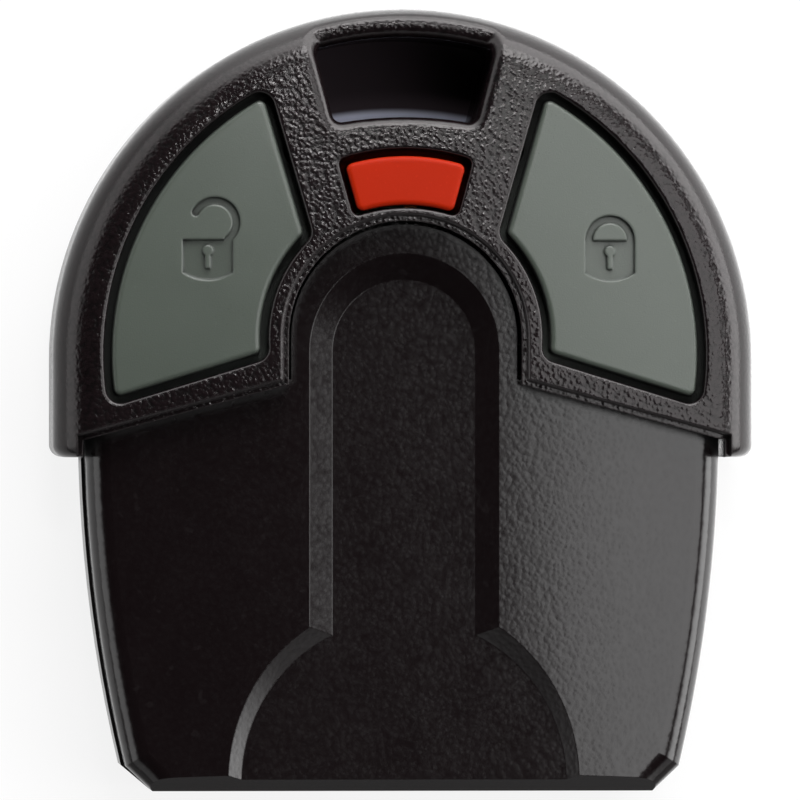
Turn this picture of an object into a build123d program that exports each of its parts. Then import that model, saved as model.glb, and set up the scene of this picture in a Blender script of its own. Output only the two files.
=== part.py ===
# A car alarm remote: a horseshoe head with three buttons over a blade holder drawer.
from build123d import *
from math import atan, cos, degrees, radians, sin, sqrt, tan
import os

# The frame: origin under the middle of the remote on the face it lies on, in millimetres.
# X runs to the right, Y towards the keyring slot and Z up towards the buttons.

# Head shells
head_radius = 22.5
head_skirt = 6.3
head_thickness = 14.0
crown_radius = 190.0
front_rim = 3.0
rear_rim = 1.8
side_wall = 1.6
front_wall = 1.5
rear_wall = 1.5
parting_height = 6.5
skirt_corner = 0.8

# Opening that the drawer nests in
arch_rim = 13.65
arch_rise = 1.38
bar_corner_drop = 1.65
bar_fall = 15.2
edge_step = 0.38
edge_step_depth = 0.5
nest_edge_bevel = 0.14
lip = 0.5
pocket_wall = 0.7
pocket_floor = 1.0
closing_wall = 1.1

# Keyring slot
slot_rim = 1.85
slot_length = 5.15
slot_low_radius = 24.0
slot_top_half = 6.0
slot_lean = 15.0
slot_wall = 1.1
slot_corner = 0.6
slot_edge_round = 0.8
rear_slot_round = 0.45

# Unlock and lock buttons
cap_rim = 3.7
cap_rise = 0.3
cap_bar = 1.83
cap_corner = (4.7, 1.8)
cap_lean = 16.2
cap_fall = 17.1
cap_corner_round = 0.45
cap_gap = 0.5
cap_sink = 0.25
cap_skin = 1.35
cap_edge_round = 0.3
well_edge_round = 0.22
flange_reach = 0.6
flange_thickness = 0.8
flange_gap = 0.15
nub_radius = 1.3
button_travel = 0.4

# Panic button
panic_bar = 1.0
panic_slot_bar = 2.5
panic_half = 4.05
panic_corner_round = 0.45
panic_lean = 15.5
panic_stand = 0.05
panic_side_gap = 0.33
panic_top_gap = 0.45
panic_low_gap = 0.16
panic_flange_reach = 0.45

# Padlock symbols on the caps
unlock_symbol = (-12.65, 7.65)
lock_symbol = (13.15, 7.6)
symbol_depth = 0.3
symbol_half = 1.6
symbol_side = 2.1
symbol_bow = 0.5
shackle_band = 0.5
open_reach = 1.38
open_side = 0.45
open_rise = 1.1
open_start = -52.0
open_sweep = 204.0
keyhole_radius = 0.34
keyhole_drop = 0.7
keyhole_foot = 1.85

# Drawer covers
drawer_reach = 27.75
drawer_cheek = 1.9
drawer_taper = 2.6
drawer_bow = 0.6
drawer_corner_x = 1.9
drawer_corner_y = 1.6
drawer_sink = 1.8
drawer_crown = 200.0
drawer_parting = 6.2
drawer_wall = 1.4
drawer_skin = 1.1
side_round = 1.7
end_bevel = 1.2
end_bevel_height = 2.2
rear_bevel = 0.9
cover_step = 0.2
slide_gap = 0.2

# Keyhole-shaped recess in the drawer
recess_depth = 0.8
recess_border = 1.2
recess_bevel = 1.67
recess_rise = 0.5
flare_radius = 11.8
flare_bevel = 1.35
flare_edge = 0.65

# Blade holder inside the drawer
blade_width = 9.4
blade_thickness = 2.6
blade_depth = 12.0
blade_pin_radius = 1.2
blade_pin_back = 8.7
rib = 0.8

# Guide arms of the drawer
arm_side = 7.6
arm_width = 3.0
arm_thickness = 1.8
arm_length = 8.0
arm_lift = 0.2
arm_gap = 0.1

# Screws
screw_radius = 0.7
screw_end_room = 2.6
screw_head_radius = 1.35
screw_head_height = 1.0
screw_head_sink = 0.3
screw_slot_width = 0.35
screw_slot_depth = 0.5
pilot_gap = 0.03
boss_wall = 0.7
head_screw_edge = 5.62
head_screw_turn = 65.7
drawer_screw_side = 7.6
drawer_screw_end = 13.75

# Circuit board and battery
board_thickness = 1.0
board_gap = 0.35
board_top_room = 0.8
cell_radius = 8.0
cell_height = 3.2
cell_middle = 5.0
cell_gap = 0.15
can_wall = 0.3
gasket_width = 0.35
contact_room = 0.7
contact_gap = 0.05
leaf_thickness = 0.2
leaf_width = 3.0

# Parts on the board
switch_side = 4.5
switch_height = 1.6
switch_edge = 6.15
switch_turn = 27.3
panic_switch_size = (3.4, 2.9)
plunger_radius = 1.1
plunger_stand = 0.6
plunger_root = 0.6
plunger_gap = 0.05
controller_size = (5.0, 3.9, 1.5)
controller_edge = 6.5
controller_turn = 5.3
lead_size = (0.4, 0.9, 0.25)
lead_pitch = 1.27
resonator_size = (3.8, 3.8, 1.4)
resonator_edge = 6.9
resonator_turn = 174.1
transistor_size = (2.9, 1.3, 1.0)
transistor_edge = 5.35
transistor_turn = 134.2
trimmer_radius = 1.5
trimmer_height = 1.2
trimmer_edge = 5.8
trimmer_turn = 49.4
antenna_edge = 1.55
antenna_width = 0.7
antenna_height = 0.6
antenna_start = 124.0
antenna_sweep = 52.0
chip_size = (1.6, 0.8, 0.5)
chip_edge = 2.55
chip_start = 22.0
chip_step = 9.5
chip_count = 5

# Levels and places worked out from the sizes above
head_y = (drawer_reach - head_radius) / 2
board_low = rear_wall + cell_height + contact_room
board_top = board_low + board_thickness
pocket_low = board_top + board_top_room
pocket_top = pocket_low + pocket_floor
drawer_top = head_thickness - drawer_sink
tongue_low = pocket_top + slide_gap
drawer_ceiling = drawer_top - recess_depth - drawer_skin
board_radius = head_radius - side_wall - board_gap
antenna_radius = board_radius - antenna_edge
chip_radius = board_radius - chip_edge
slot_top_radius = head_radius - slot_rim
slot_low = slot_top_radius - slot_length
arch_radius = head_radius - arch_rim - arch_rise
cap_outer_radius = head_radius - cap_rim
cap_inner_radius = arch_radius + cap_bar
panic_inner = arch_rise + arch_radius + panic_bar
panic_outer = slot_low - panic_slot_bar
drawer_half = head_radius - drawer_cheek
drawer_end_half = drawer_half - drawer_taper
recess_half = arch_radius - recess_border
recess_floor_half = recess_half - recess_bevel
flare_floor_radius = flare_radius - flare_bevel
flare_drop = drawer_reach - flare_edge
arm_middle = drawer_half - arm_side
drawer_back = -(bar_corner_drop + (drawer_half - arch_radius) * tan(radians(bar_fall)) - slide_gap)
closing_face = drawer_back + slide_gap
plunger_top = board_top + switch_height + plunger_stand
switch_top = board_top + switch_height
boss_radius = screw_radius + boss_wall
end_y = -drawer_reach
screw_seat = screw_head_sink + screw_head_height
screw_length = head_thickness - front_wall - screw_seat - screw_end_room
far = 2 * head_radius

head_axis = Axis((0, head_y, 0), (0, 0, 1))
section_plane = Plane(origin=(0, head_y, 0), x_dir=(1, 0, 0), z_dir=(0, -1, 0))


def on_board(edge, turn):
    """A place on the board at a distance inside its rim, turned from +X about the head's centre."""
    distance = board_radius - edge
    return (distance * cos(radians(turn)), distance * sin(radians(turn)))


head_screw = on_board(head_screw_edge, head_screw_turn)
drawer_screw = (drawer_half - drawer_screw_side, drawer_screw_end - drawer_reach)
switch_middle = on_board(switch_edge, switch_turn)
controller_middle = on_board(controller_edge, controller_turn)
resonator_middle = on_board(resonator_edge, resonator_turn)
transistor_middle = on_board(transistor_edge, transistor_turn)
trimmer_middle = on_board(trimmer_edge, trimmer_turn)
panic_place = (0, (panic_outer + panic_inner) / 2)


def level(height):
    """A drawing plane at a height, with its origin on the head's centre line."""
    return Plane(origin=(0, head_y, height), x_dir=(1, 0, 0), z_dir=(0, 0, 1))


def sagitta(radius, half_width):
    """How far a crown of this radius falls from its middle to half_width."""
    return radius - sqrt(radius**2 - half_width**2)


def front_height(distance):
    """Height of the head's crowned front at a distance from its middle."""
    return head_thickness - sagitta(crown_radius, distance)


def crowned_half(half_width, low, top, radius, rim=0.0):
    """Half of a cross-section with a crowned top, and its outer upper corner rounded."""
    edge = (half_width, top - sagitta(radius, half_width))
    with BuildLine() as outline:
        TangentArc((0, top), edge, tangent=(1, 0))
        Polyline(edge, (half_width, low), (0, low), (0, top))
    make_face(outline.edges())
    if rim:
        fillet(vertices().sort_by_distance(edge)[0], rim)


def rear_half(half_width, low, high, rim):
    """Half of a cross-section with a flat bottom, and its outer lower corner rounded."""
    with BuildLine() as outline:
        Polyline((0, low), (half_width, low), (half_width, high), (0, high), (0, low))
    make_face(outline.edges())
    fillet(vertices().sort_by_distance((half_width, low))[0], rim)


def horseshoe(half_section, *sizes, mode=Mode.ADD):
    """Turns a half section over the head's round end and runs it down the straight sides."""
    with BuildSketch(section_plane) as half:
        half_section(*sizes)
    revolve(half.sketch, axis=head_axis, revolution_arc=180, mode=mode)
    with BuildSketch(section_plane) as whole:
        half_section(*sizes)
        mirror(about=Plane.YZ)
    extrude(whole.sketch, amount=head_skirt, mode=mode)


def cap_crown(drop=0.0, mode=Mode.ADD):
    """The crowned form that the two large caps are cut from, lowered by drop."""
    sink = cap_sink + drop
    horseshoe(crowned_half, head_radius, pocket_top, head_thickness - sink, crown_radius - sink, mode=mode)


def round_skirts():
    """Rounds the lower ends of the straight sides, except along the parting line."""
    end = head_y - head_skirt
    end_edges = edges().filter_by_position(Axis.Y, end - 0.01, end + 0.01)
    fillet([edge for edge in end_edges if abs(edge.center().Z - parting_height) > 0.01], skirt_corner)


def front_form():
    """The outside of the head above its parting line."""
    horseshoe(crowned_half, head_radius, parting_height, head_thickness, crown_radius, front_rim)
    round_skirts()


def rear_form():
    """The outside of the head below its parting line."""
    horseshoe(rear_half, head_radius, 0, parting_height, rear_rim)
    round_skirts()


def shoulder(x, lift):
    """Where the slanted lower edge of the head's bar lies at x, raised by lift."""
    return lift - bar_corner_drop - (x - arch_radius) * tan(radians(bar_fall))


def nest_plan(grow, lift, reach):
    """Outline of the arch and shoulders where the drawer nests, down to reach."""
    arch = arch_radius + grow
    side = drawer_half + grow
    with BuildLine() as outline:
        CenterArc((0, arch_rise), arch, 0, 180)
        Polyline(
            (-arch, arch_rise),
            (-arch, shoulder(arch, lift + grow)),
            (-side, shoulder(side, lift + grow)),
            (-side, -reach),
            (side, -reach),
            (side, shoulder(side, lift + grow)),
            (arch, shoulder(arch, lift + grow)),
            (arch, arch_rise),
        )
    make_face(outline.edges())


def slot_plan(grow=0.0):
    """Outline of the keyring slot, grown outwards by its wall."""
    low_half = slot_top_half - (slot_top_radius - slot_low) * tan(radians(slot_lean))
    foot = slot_low - 2 * slot_wall
    foot_half = low_half - 2 * slot_wall * tan(radians(slot_lean))
    head_half = slot_top_half + slot_wall * tan(radians(slot_lean))
    side_grow = grow / cos(radians(slot_lean))
    with BuildLine() as outline:
        Polyline(
            (foot_half + side_grow, foot),
            (head_half + side_grow, slot_top_radius + slot_wall),
            (-head_half - side_grow, slot_top_radius + slot_wall),
            (-foot_half - side_grow, foot),
            (foot_half + side_grow, foot),
        )
    make_face(outline.edges())
    with Locations((0, 0)):
        Circle(slot_top_radius + grow, mode=Mode.INTERSECT)
    with Locations((0, slot_low - slot_low_radius)):
        Circle(slot_low_radius - grow, mode=Mode.SUBTRACT)
    fillet(vertices(), slot_corner + grow)


def cap_plan(side, grow=0.0):
    """Outline of the left (-1) or right (1) cap, grown outwards by grow."""
    corner_x, corner_y = cap_corner
    lean = radians(cap_lean)
    fall = radians(cap_fall)
    with BuildLine() as outline:
        Polyline(
            (side * corner_x, corner_y),
            (side * (corner_x + far * sin(lean)), corner_y + far * cos(lean)),
            (side * 2 * far, 2 * far),
            (side * (corner_x + far * cos(fall)), corner_y - far * sin(fall)),
            (side * corner_x, corner_y),
        )
    make_face(outline.edges())
    with Locations((0, cap_rise)):
        Circle(cap_outer_radius, mode=Mode.INTERSECT)
    with Locations((0, arch_rise)):
        Circle(cap_inner_radius, mode=Mode.SUBTRACT)
    fillet(vertices(), cap_corner_round)
    if grow:
        offset(amount=grow, kind=Kind.ARC)


def panic_plan(side_grow=0.0, top_grow=0.0, low_grow=0.0):
    """Outline of the panic button, grown at its sides, its top and its foot."""
    lean = radians(panic_lean)
    half = panic_half + side_grow / cos(lean)
    low_half = half - 2 * (panic_outer - panic_inner) * tan(lean)
    low = panic_outer - 2 * (panic_outer - panic_inner)
    high = panic_outer + panic_outer - panic_inner
    high_half = half + (high - panic_outer) * tan(lean)
    with BuildLine() as outline:
        Polyline((low_half, low), (high_half, high), (-high_half, high), (-low_half, low), (low_half, low))
    make_face(outline.edges())
    Circle(panic_outer + top_grow, mode=Mode.INTERSECT)
    Circle(panic_inner - low_grow, mode=Mode.SUBTRACT)
    fillet(vertices(), panic_corner_round)


def arc_band(middle, radius, start, sweep, width):
    """A band along an arc, with round ends."""
    turns = [radians(start), radians(start + sweep)]
    ends = [(middle[0] + radius * cos(turn), middle[1] + radius * sin(turn)) for turn in turns]
    with BuildLine() as outline:
        CenterArc(middle, radius + width / 2, start, sweep)
        CenterArc(middle, radius - width / 2, start, sweep)
        CenterArc(ends[0], width / 2, start + 180, 180)
        CenterArc(ends[1], width / 2, start + sweep, 180)
    make_face(outline.edges())


def padlock(middle, closed):
    """A plain padlock symbol: a body with a keyhole island, under a closed or swung shackle."""
    x, y = middle
    with BuildLine() as outline:
        Polyline((x - symbol_half, y - symbol_side), (x - symbol_half, y), (x + symbol_half, y))
        Line((x + symbol_half, y), (x + symbol_half, y - symbol_side))
        ThreePointArc(
            (x + symbol_half, y - symbol_side),
            (x, y - symbol_side - symbol_bow),
            (x - symbol_half, y - symbol_side),
        )
    make_face(outline.edges())
    with Locations((x, y - keyhole_drop)):
        Circle(keyhole_radius, mode=Mode.SUBTRACT)
    with Locations((x, y - (keyhole_drop + keyhole_foot) / 2)):
        Rectangle(keyhole_radius, keyhole_foot - keyhole_drop, mode=Mode.SUBTRACT)
    reach = symbol_half - shackle_band / 2
    if closed:
        arc_band(middle, reach, 0, 180, shackle_band)
    else:
        swung = (x + open_side, y + open_rise)
        arc_band(swung, open_reach, open_start, open_sweep, shackle_band)


def drawer_plan(inset=0.0):
    """Outline of the drawer from its back wall to its flat end, drawn in by inset."""
    start = (drawer_half - inset, drawer_back)
    foot = (drawer_end_half - inset, end_y + drawer_corner_y)
    middle = ((start[0] + foot[0]) / 2 + drawer_bow, (start[1] + foot[1]) / 2)
    with BuildLine() as outline:
        Line((0, drawer_back), start)
        ThreePointArc(start, middle, foot)
        Polyline(foot, (drawer_end_half - drawer_corner_x, end_y), (0, end_y))
        mirror(about=Plane.YZ)
    make_face(outline.edges())


def keyhole_plan(half, flare):
    """Outline of the drawer's recess: a straight neck that opens into a round flare."""
    join = sqrt(flare**2 - half**2) - flare_drop
    turn = degrees(atan((flare_drop + join) / half))
    with BuildLine() as outline:
        CenterArc((0, recess_rise), half, 0, 90)
        Line((half, recess_rise), (half, join))
        CenterArc((0, -flare_drop), flare, 0, turn)
        Polyline((flare, -flare_drop), (flare, end_y - end_bevel), (0, end_y - end_bevel))
        mirror(about=Plane.YZ)
    make_face(outline.edges())


def crowned_slab(low, top, mode=Mode.ADD):
    """A slab with the drawer's crown, from behind the arch to past the flat end."""
    back = Plane(origin=(0, head_y + far, 0), x_dir=(1, 0, 0), z_dir=(0, -1, 0))
    with BuildSketch(back) as section:
        crowned_half(drawer_half + 1, low, top, drawer_crown)
        mirror(about=Plane.YZ)
    extrude(section.sketch, amount=far + 2 * drawer_reach, mode=mode)


def box_between(low, high, mode=Mode.ADD):
    """A box between two corners given from the head's centre line, with real heights."""
    size = [b - a for a, b in zip(low, high)]
    with Locations(((low[0] + high[0]) / 2, head_y + (low[1] + high[1]) / 2, (low[2] + high[2]) / 2)):
        Box(size[0], size[1], size[2], mode=mode)


def post(middle, radius, low, high, mode=Mode.ADD):
    """An upright cylinder at a place given from the head's centre line."""
    with Locations((middle[0], head_y + middle[1], (low + high) / 2)):
        Cylinder(radius, high - low, mode=mode)


def outline_of(plan, *sizes):
    """The outline of a plan, drawn at the height of the face the remote lies on."""
    with BuildSketch(level(0), mode=Mode.PRIVATE) as flat:
        plan(*sizes)
    return flat.sketch.wire()


def rim_edges(outline, high, depth):
    """Edges of the part in hand that follow an outline, within depth below the height high(x, y)."""
    chosen = []
    for edge in edges():
        points = [edge.position_at(share) for share in (0, 0.3, 0.5, 0.7, 1)]
        follows = all(outline.distance_to(Vertex(p.X, p.Y, 0)) < 0.005 for p in points)
        if follows and all(abs(high(p.X, p.Y) - p.Z) < depth for p in points):
            chosen.append(edge)
    return chosen


def head_front(x, y):
    """Height of the head's front over a place in the remote's frame."""
    distance = sqrt(x**2 + max(y - head_y, 0) ** 2)
    return front_height(min(distance, head_radius))


def drawer_front(x, y):
    """Height of the drawer's crowned front over a place in the remote's frame."""
    return drawer_top - sagitta(drawer_crown, abs(x))


def screw(middle, seat, length):
    """A pan-head screw driven from the rear, with its head below seat and a cross in the head."""
    post(middle, screw_head_radius, seat - screw_head_height, seat)
    post(middle, screw_radius, seat, seat + length)
    for width, height in ((screw_slot_width, screw_head_radius), (screw_head_radius, screw_slot_width)):
        low = seat - screw_head_height
        corner = (middle[0] - width / 2, middle[1] - height / 2, low)
        box_between(
            corner,
            (middle[0] + width / 2, middle[1] + height / 2, low + screw_slot_depth),
            mode=Mode.SUBTRACT,
        )


def screw_places(place):
    """A place and its mirror image on the left."""
    return ((-place[0], place[1]), place)


# Walls round the nest for the drawer, cut to the head's outer form
with BuildPart() as nest_block:
    front_form()
    with BuildSketch(level(pocket_low)):
        nest_plan(pocket_wall, lip, head_skirt)
        with Locations((0, closing_face - far)):
            Rectangle(2 * far, 2 * far, mode=Mode.SUBTRACT)
    extrude(amount=head_thickness, mode=Mode.INTERSECT)

# Walls round the keyring slot, cut to each shell's outer form
with BuildPart() as front_slot_block:
    front_form()
    with BuildSketch(level(0)):
        slot_plan(slot_wall)
    extrude(amount=head_thickness, mode=Mode.INTERSECT)

with BuildPart() as rear_slot_block:
    rear_form()
    with BuildSketch(level(0)):
        slot_plan(slot_wall)
    extrude(amount=head_thickness, mode=Mode.INTERSECT)

# Space under the lip that takes the drawer's shoulders
with BuildPart() as shoulder_space:
    crowned_slab(pocket_top, drawer_top + slide_gap)
    with BuildSketch(level(pocket_top)):
        nest_plan(0, lip, far)
    extrude(amount=head_thickness, mode=Mode.INTERSECT)

# Narrow step along the opening's edge
with BuildPart() as edge_step_space:
    with BuildSketch(level(pocket_top)):
        nest_plan(edge_step, 0, far)
    extrude(amount=head_thickness)
    horseshoe(
        crowned_half,
        head_radius - edge_step_depth,
        parting_height,
        head_thickness - edge_step_depth,
        crown_radius - edge_step_depth,
        front_rim - edge_step_depth,
        mode=Mode.SUBTRACT,
    )

# Front shell of the head
with BuildPart() as front_shell:
    front_form()
    horseshoe(
        crowned_half,
        head_radius - side_wall,
        parting_height,
        head_thickness - front_wall,
        crown_radius - front_wall,
        front_rim - side_wall,
        mode=Mode.SUBTRACT,
    )
    add(nest_block.part)
    add(front_slot_block.part)
    side = head_radius - side_wall / 2
    box_between((-side, closing_face, parting_height), (side, closing_face + closing_wall, pocket_top))
    box_between(
        (-drawer_half - slide_gap, -far, 0),
        (drawer_half + slide_gap, closing_face, tongue_low),
        mode=Mode.SUBTRACT,
    )
    add(shoulder_space.part, mode=Mode.SUBTRACT)
    add(edge_step_space.part, mode=Mode.SUBTRACT)
    with BuildSketch(level(pocket_top)):
        nest_plan(0, 0, far)
    extrude(amount=head_thickness, mode=Mode.SUBTRACT)
    pilot_top = screw_seat + screw_length + slide_gap
    for place in screw_places(head_screw):
        post(place, boss_radius, board_low, head_thickness - front_wall)
        post(place, screw_radius + pilot_gap, board_low, pilot_top, mode=Mode.SUBTRACT)
    rib_start = closing_face + closing_wall
    for x in (-cell_middle, cell_middle):
        box_between((x - rib / 2, rib_start, board_top), (x + rib / 2, arch_rise, pocket_top))
    with BuildSketch(level(0)):
        slot_plan()
    extrude(amount=head_thickness, mode=Mode.SUBTRACT)
    wells = (
        (cap_plan, -1, cap_gap),
        (cap_plan, 1, cap_gap),
        (panic_plan, panic_side_gap, panic_top_gap, panic_low_gap),
    )
    for plan, *sizes in wells:
        with BuildSketch(level(pocket_top)):
            plan(*sizes)
        extrude(amount=head_thickness, mode=Mode.SUBTRACT)
        fillet(rim_edges(outline_of(plan, *sizes), head_front, front_wall / 2), well_edge_round)
    fillet(rim_edges(outline_of(slot_plan), head_front, front_wall / 2), slot_edge_round)
    nest_edges = rim_edges(outline_of(nest_plan, edge_step, 0, far), head_front, edge_step_depth / 2)
    chamfer([edge for edge in nest_edges if abs(edge.center().X) < drawer_half], nest_edge_bevel)
front_shell.part.label = "front_shell"

# Rear shell of the head, with the battery's ring, screw posts and guides for the drawer's arms
with BuildPart() as rear_shell:
    rear_form()
    inner_rim = rear_rim - side_wall + rib
    horseshoe(
        rear_half, head_radius - side_wall, rear_wall, parting_height, inner_rim, mode=Mode.SUBTRACT
    )
    add(rear_slot_block.part)
    side = head_radius - side_wall / 2
    box_between((-side, closing_face, rear_wall / 2), (side, closing_face + closing_wall, parting_height))
    box_between(
        (-drawer_half - slide_gap, -far, 0),
        (drawer_half + slide_gap, closing_face, parting_height),
        mode=Mode.SUBTRACT,
    )
    post((0, cell_middle), cell_radius + cell_gap + rib, rear_wall / 2, board_low)
    post((0, cell_middle), cell_radius + cell_gap, rear_wall, board_low, mode=Mode.SUBTRACT)
    box_between(
        (0, cell_middle - leaf_width / 2 - rib, rear_wall),
        (cell_radius + 2 * rib, cell_middle + leaf_width / 2 + rib, board_low),
        mode=Mode.SUBTRACT,
    )
    arm_half = arm_width / 2 + arm_gap
    for middle in (-arm_middle, arm_middle):
        for x in (middle - arm_half - rib, middle + arm_half):
            box_between(
                (x, closing_face + closing_wall / 2, rear_wall / 2),
                (x + rib, arm_length + drawer_back, board_low),
            )
        box_between(
            (middle - arm_half, -far, rear_wall + arm_lift - arm_gap),
            (middle + arm_half, arm_length, rear_wall + arm_lift + arm_thickness + arm_gap),
            mode=Mode.SUBTRACT,
        )
    for place in screw_places(head_screw):
        post(place, screw_head_radius + slide_gap + boss_wall, rear_wall / 2, board_low)
        post(place, screw_head_radius + slide_gap, 0, screw_seat, mode=Mode.SUBTRACT)
        post(place, screw_radius + slide_gap, 0, board_low, mode=Mode.SUBTRACT)
        post(place, boss_radius + slide_gap, board_low, parting_height, mode=Mode.SUBTRACT)
    with BuildSketch(level(0)):
        slot_plan()
    extrude(amount=parting_height, mode=Mode.SUBTRACT)
    fillet(rim_edges(outline_of(slot_plan), lambda x, y: 0, rear_wall / 2), rear_slot_round)
rear_shell.part.label = "rear_shell"

# Symbols that are sunk into the caps, each cut to the caps' crowned front
with BuildPart() as unlock_stamp:
    with BuildSketch(level(pocket_top)):
        padlock(unlock_symbol, False)
    extrude(amount=head_thickness)
    cap_crown(symbol_depth, mode=Mode.SUBTRACT)

with BuildPart() as lock_stamp:
    with BuildSketch(level(pocket_top)):
        padlock(lock_symbol, True)
    extrude(amount=head_thickness)
    cap_crown(symbol_depth, mode=Mode.SUBTRACT)

# Blank of a large cap: a crowned skin, a flange that keeps it in, and a nub over its switch
flange_top = front_height(cap_outer_radius + flange_reach) - front_wall - flange_gap
flange_low = flange_top - flange_thickness
cap_ceiling = front_height(cap_outer_radius) - cap_sink - cap_skin

with BuildPart() as cap_blank:
    cap_crown()
    with BuildSketch(level(flange_low)):
        cap_plan(1)
    extrude(amount=head_thickness, mode=Mode.INTERSECT)
    cap_edge = outline_of(cap_plan, 1)
    fillet(rim_edges(cap_edge, lambda x, y: head_front(x, y) - cap_sink, cap_sink), cap_edge_round)
    with BuildSketch(level(flange_low)):
        cap_plan(1, flange_reach)
    extrude(amount=flange_thickness)
    with BuildSketch(level(flange_low)):
        cap_plan(1, -cap_skin)
    extrude(amount=cap_ceiling - flange_low, mode=Mode.SUBTRACT)
    post(switch_middle, nub_radius, plunger_top, cap_ceiling + cap_skin / 2)
    post(head_screw, boss_radius + slide_gap, 0, head_thickness, mode=Mode.SUBTRACT)

with BuildPart() as unlock_button:
    mirror(cap_blank.part, about=Plane.YZ)
    add(unlock_stamp.part, mode=Mode.SUBTRACT)
unlock_button.part.label = "unlock_button"

with BuildPart() as lock_button:
    add(cap_blank.part)
    add(lock_stamp.part, mode=Mode.SUBTRACT)
lock_button.part.label = "lock_button"

# Panic button, which stands level with the head's front
panic_top = head_thickness + panic_stand
panic_flange_top = front_height(panic_outer + panic_flange_reach) - front_wall - flange_gap
panic_flange_low = panic_flange_top - flange_thickness

with BuildPart() as panic_button:
    horseshoe(crowned_half, head_radius, pocket_top, panic_top, crown_radius + panic_stand)
    with BuildSketch(level(panic_flange_low)):
        panic_plan()
    extrude(amount=head_thickness, mode=Mode.INTERSECT)
    panic_edge = outline_of(panic_plan)
    fillet(rim_edges(panic_edge, lambda x, y: head_front(x, y) + panic_stand, cap_sink), cap_edge_round)
    with BuildSketch(level(panic_flange_low)):
        panic_plan(panic_flange_reach, panic_flange_reach, 0)
    extrude(amount=flange_thickness)
    post(panic_place, nub_radius, plunger_top, panic_flange_top)
    for place in screw_places(head_screw):
        post(place, boss_radius + slide_gap, 0, head_thickness, mode=Mode.SUBTRACT)
panic_button.part.label = "panic_button"

# Circuit board, notched round the slot's walls and the screw bosses
with BuildPart() as circuit_board:
    with BuildSketch(level(board_low)):
        Circle(board_radius)
        with Locations((0, closing_face + closing_wall + board_gap - far)):
            Rectangle(2 * far, 2 * far, mode=Mode.SUBTRACT)
        for place in screw_places(head_screw):
            with Locations(place):
                Circle(boss_radius + board_gap, mode=Mode.SUBTRACT)
    extrude(amount=board_thickness)
    with BuildSketch(level(board_low)):
        slot_plan(slot_wall + board_gap)
    extrude(amount=board_thickness, mode=Mode.SUBTRACT)
circuit_board.part.label = "circuit_board"


def block_on_board(middle, size):
    """A plain block standing on the board."""
    x, y = middle
    width, depth, height = size
    box_between(
        (x - width / 2, y - depth / 2, board_top),
        (x + width / 2, y + depth / 2, board_top + height),
    )


def switch(middle, width, depth):
    """A push switch's body on the board, bored for its plunger."""
    block_on_board(middle, (width, depth, switch_height))
    bore_floor = switch_top - plunger_root - button_travel
    post(middle, plunger_radius + plunger_gap, bore_floor, switch_top, mode=Mode.SUBTRACT)


def plunger(middle):
    """The round plunger that stands out of a switch."""
    post(middle, plunger_radius, switch_top - plunger_root, plunger_top)


unlock_place = (-switch_middle[0], switch_middle[1])

with BuildPart() as unlock_switch:
    switch(unlock_place, switch_side, switch_side)
unlock_switch.part.label = "unlock_switch"

with BuildPart() as lock_switch:
    switch(switch_middle, switch_side, switch_side)
lock_switch.part.label = "lock_switch"

with BuildPart() as panic_switch:
    switch(panic_place, *panic_switch_size)
panic_switch.part.label = "panic_switch"

with BuildPart() as unlock_plunger:
    plunger(unlock_place)
unlock_plunger.part.label = "unlock_plunger"

with BuildPart() as lock_plunger:
    plunger(switch_middle)
lock_plunger.part.label = "lock_plunger"

with BuildPart() as panic_plunger:
    plunger(panic_place)
panic_plunger.part.label = "panic_plunger"

# Microcontroller with four leads on each side
with BuildPart() as microcontroller:
    block_on_board(controller_middle, controller_size)
    chamfer(edges().group_by(Axis.Z)[-1], lead_size[2])
    for side in (-1, 1):
        for offset in (-1.5, -0.5, 0.5, 1.5):
            x = controller_middle[0] + offset * lead_pitch
            y = controller_middle[1] + side * (controller_size[1] + lead_size[1]) / 2
            block_on_board((x, y), (lead_size[0], lead_size[1], controller_size[2] / 2))
microcontroller.part.label = "microcontroller"

# Surface resonator that sets the radio's frequency
with BuildPart() as saw_resonator:
    block_on_board(resonator_middle, resonator_size)
    chamfer(edges().group_by(Axis.Z)[-1], lead_size[2])
saw_resonator.part.label = "saw_resonator"

# Radio transistor with two leads in front and one behind
with BuildPart() as rf_transistor:
    block_on_board(transistor_middle, transistor_size)
    chamfer(edges().group_by(Axis.Z)[-1], lead_size[2] / 2)
    for offset, side in ((-1, -1), (1, -1), (0, 1)):
        x = transistor_middle[0] + offset * transistor_size[0] / 3
        y = transistor_middle[1] + side * (transistor_size[1] + lead_size[1]) / 2
        block_on_board((x, y), (lead_size[0], lead_size[1], transistor_size[2] / 2))
rf_transistor.part.label = "rf_transistor"

# Trimmer that tunes the antenna, with a slot for the adjusting blade
with BuildPart() as trimmer_capacitor:
    post(trimmer_middle, trimmer_radius, board_top, board_top + trimmer_height)
    chamfer(edges().group_by(Axis.Z)[-1], lead_size[2])
    with Locations((trimmer_middle[0], head_y + trimmer_middle[1], board_top + trimmer_height)):
        Box(trimmer_radius, lead_size[0], 2 * lead_size[2], mode=Mode.SUBTRACT)
trimmer_capacitor.part.label = "trimmer_capacitor"

# Antenna strip along the board's edge
with BuildPart() as loop_antenna:
    with BuildSketch(level(board_top)):
        arc_band((0, 0), antenna_radius, antenna_start, antenna_sweep, antenna_width)
    extrude(amount=antenna_height)
loop_antenna.part.label = "loop_antenna"

# Resistors and capacitors of the radio stage, in a row along the board's edge
with BuildPart() as chip_components:
    for number in range(chip_count):
        angle = radians(chip_start + number * chip_step)
        block_on_board((chip_radius * cos(angle), chip_radius * sin(angle)), chip_size)
chip_components.part.label = "chip_components"

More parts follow.
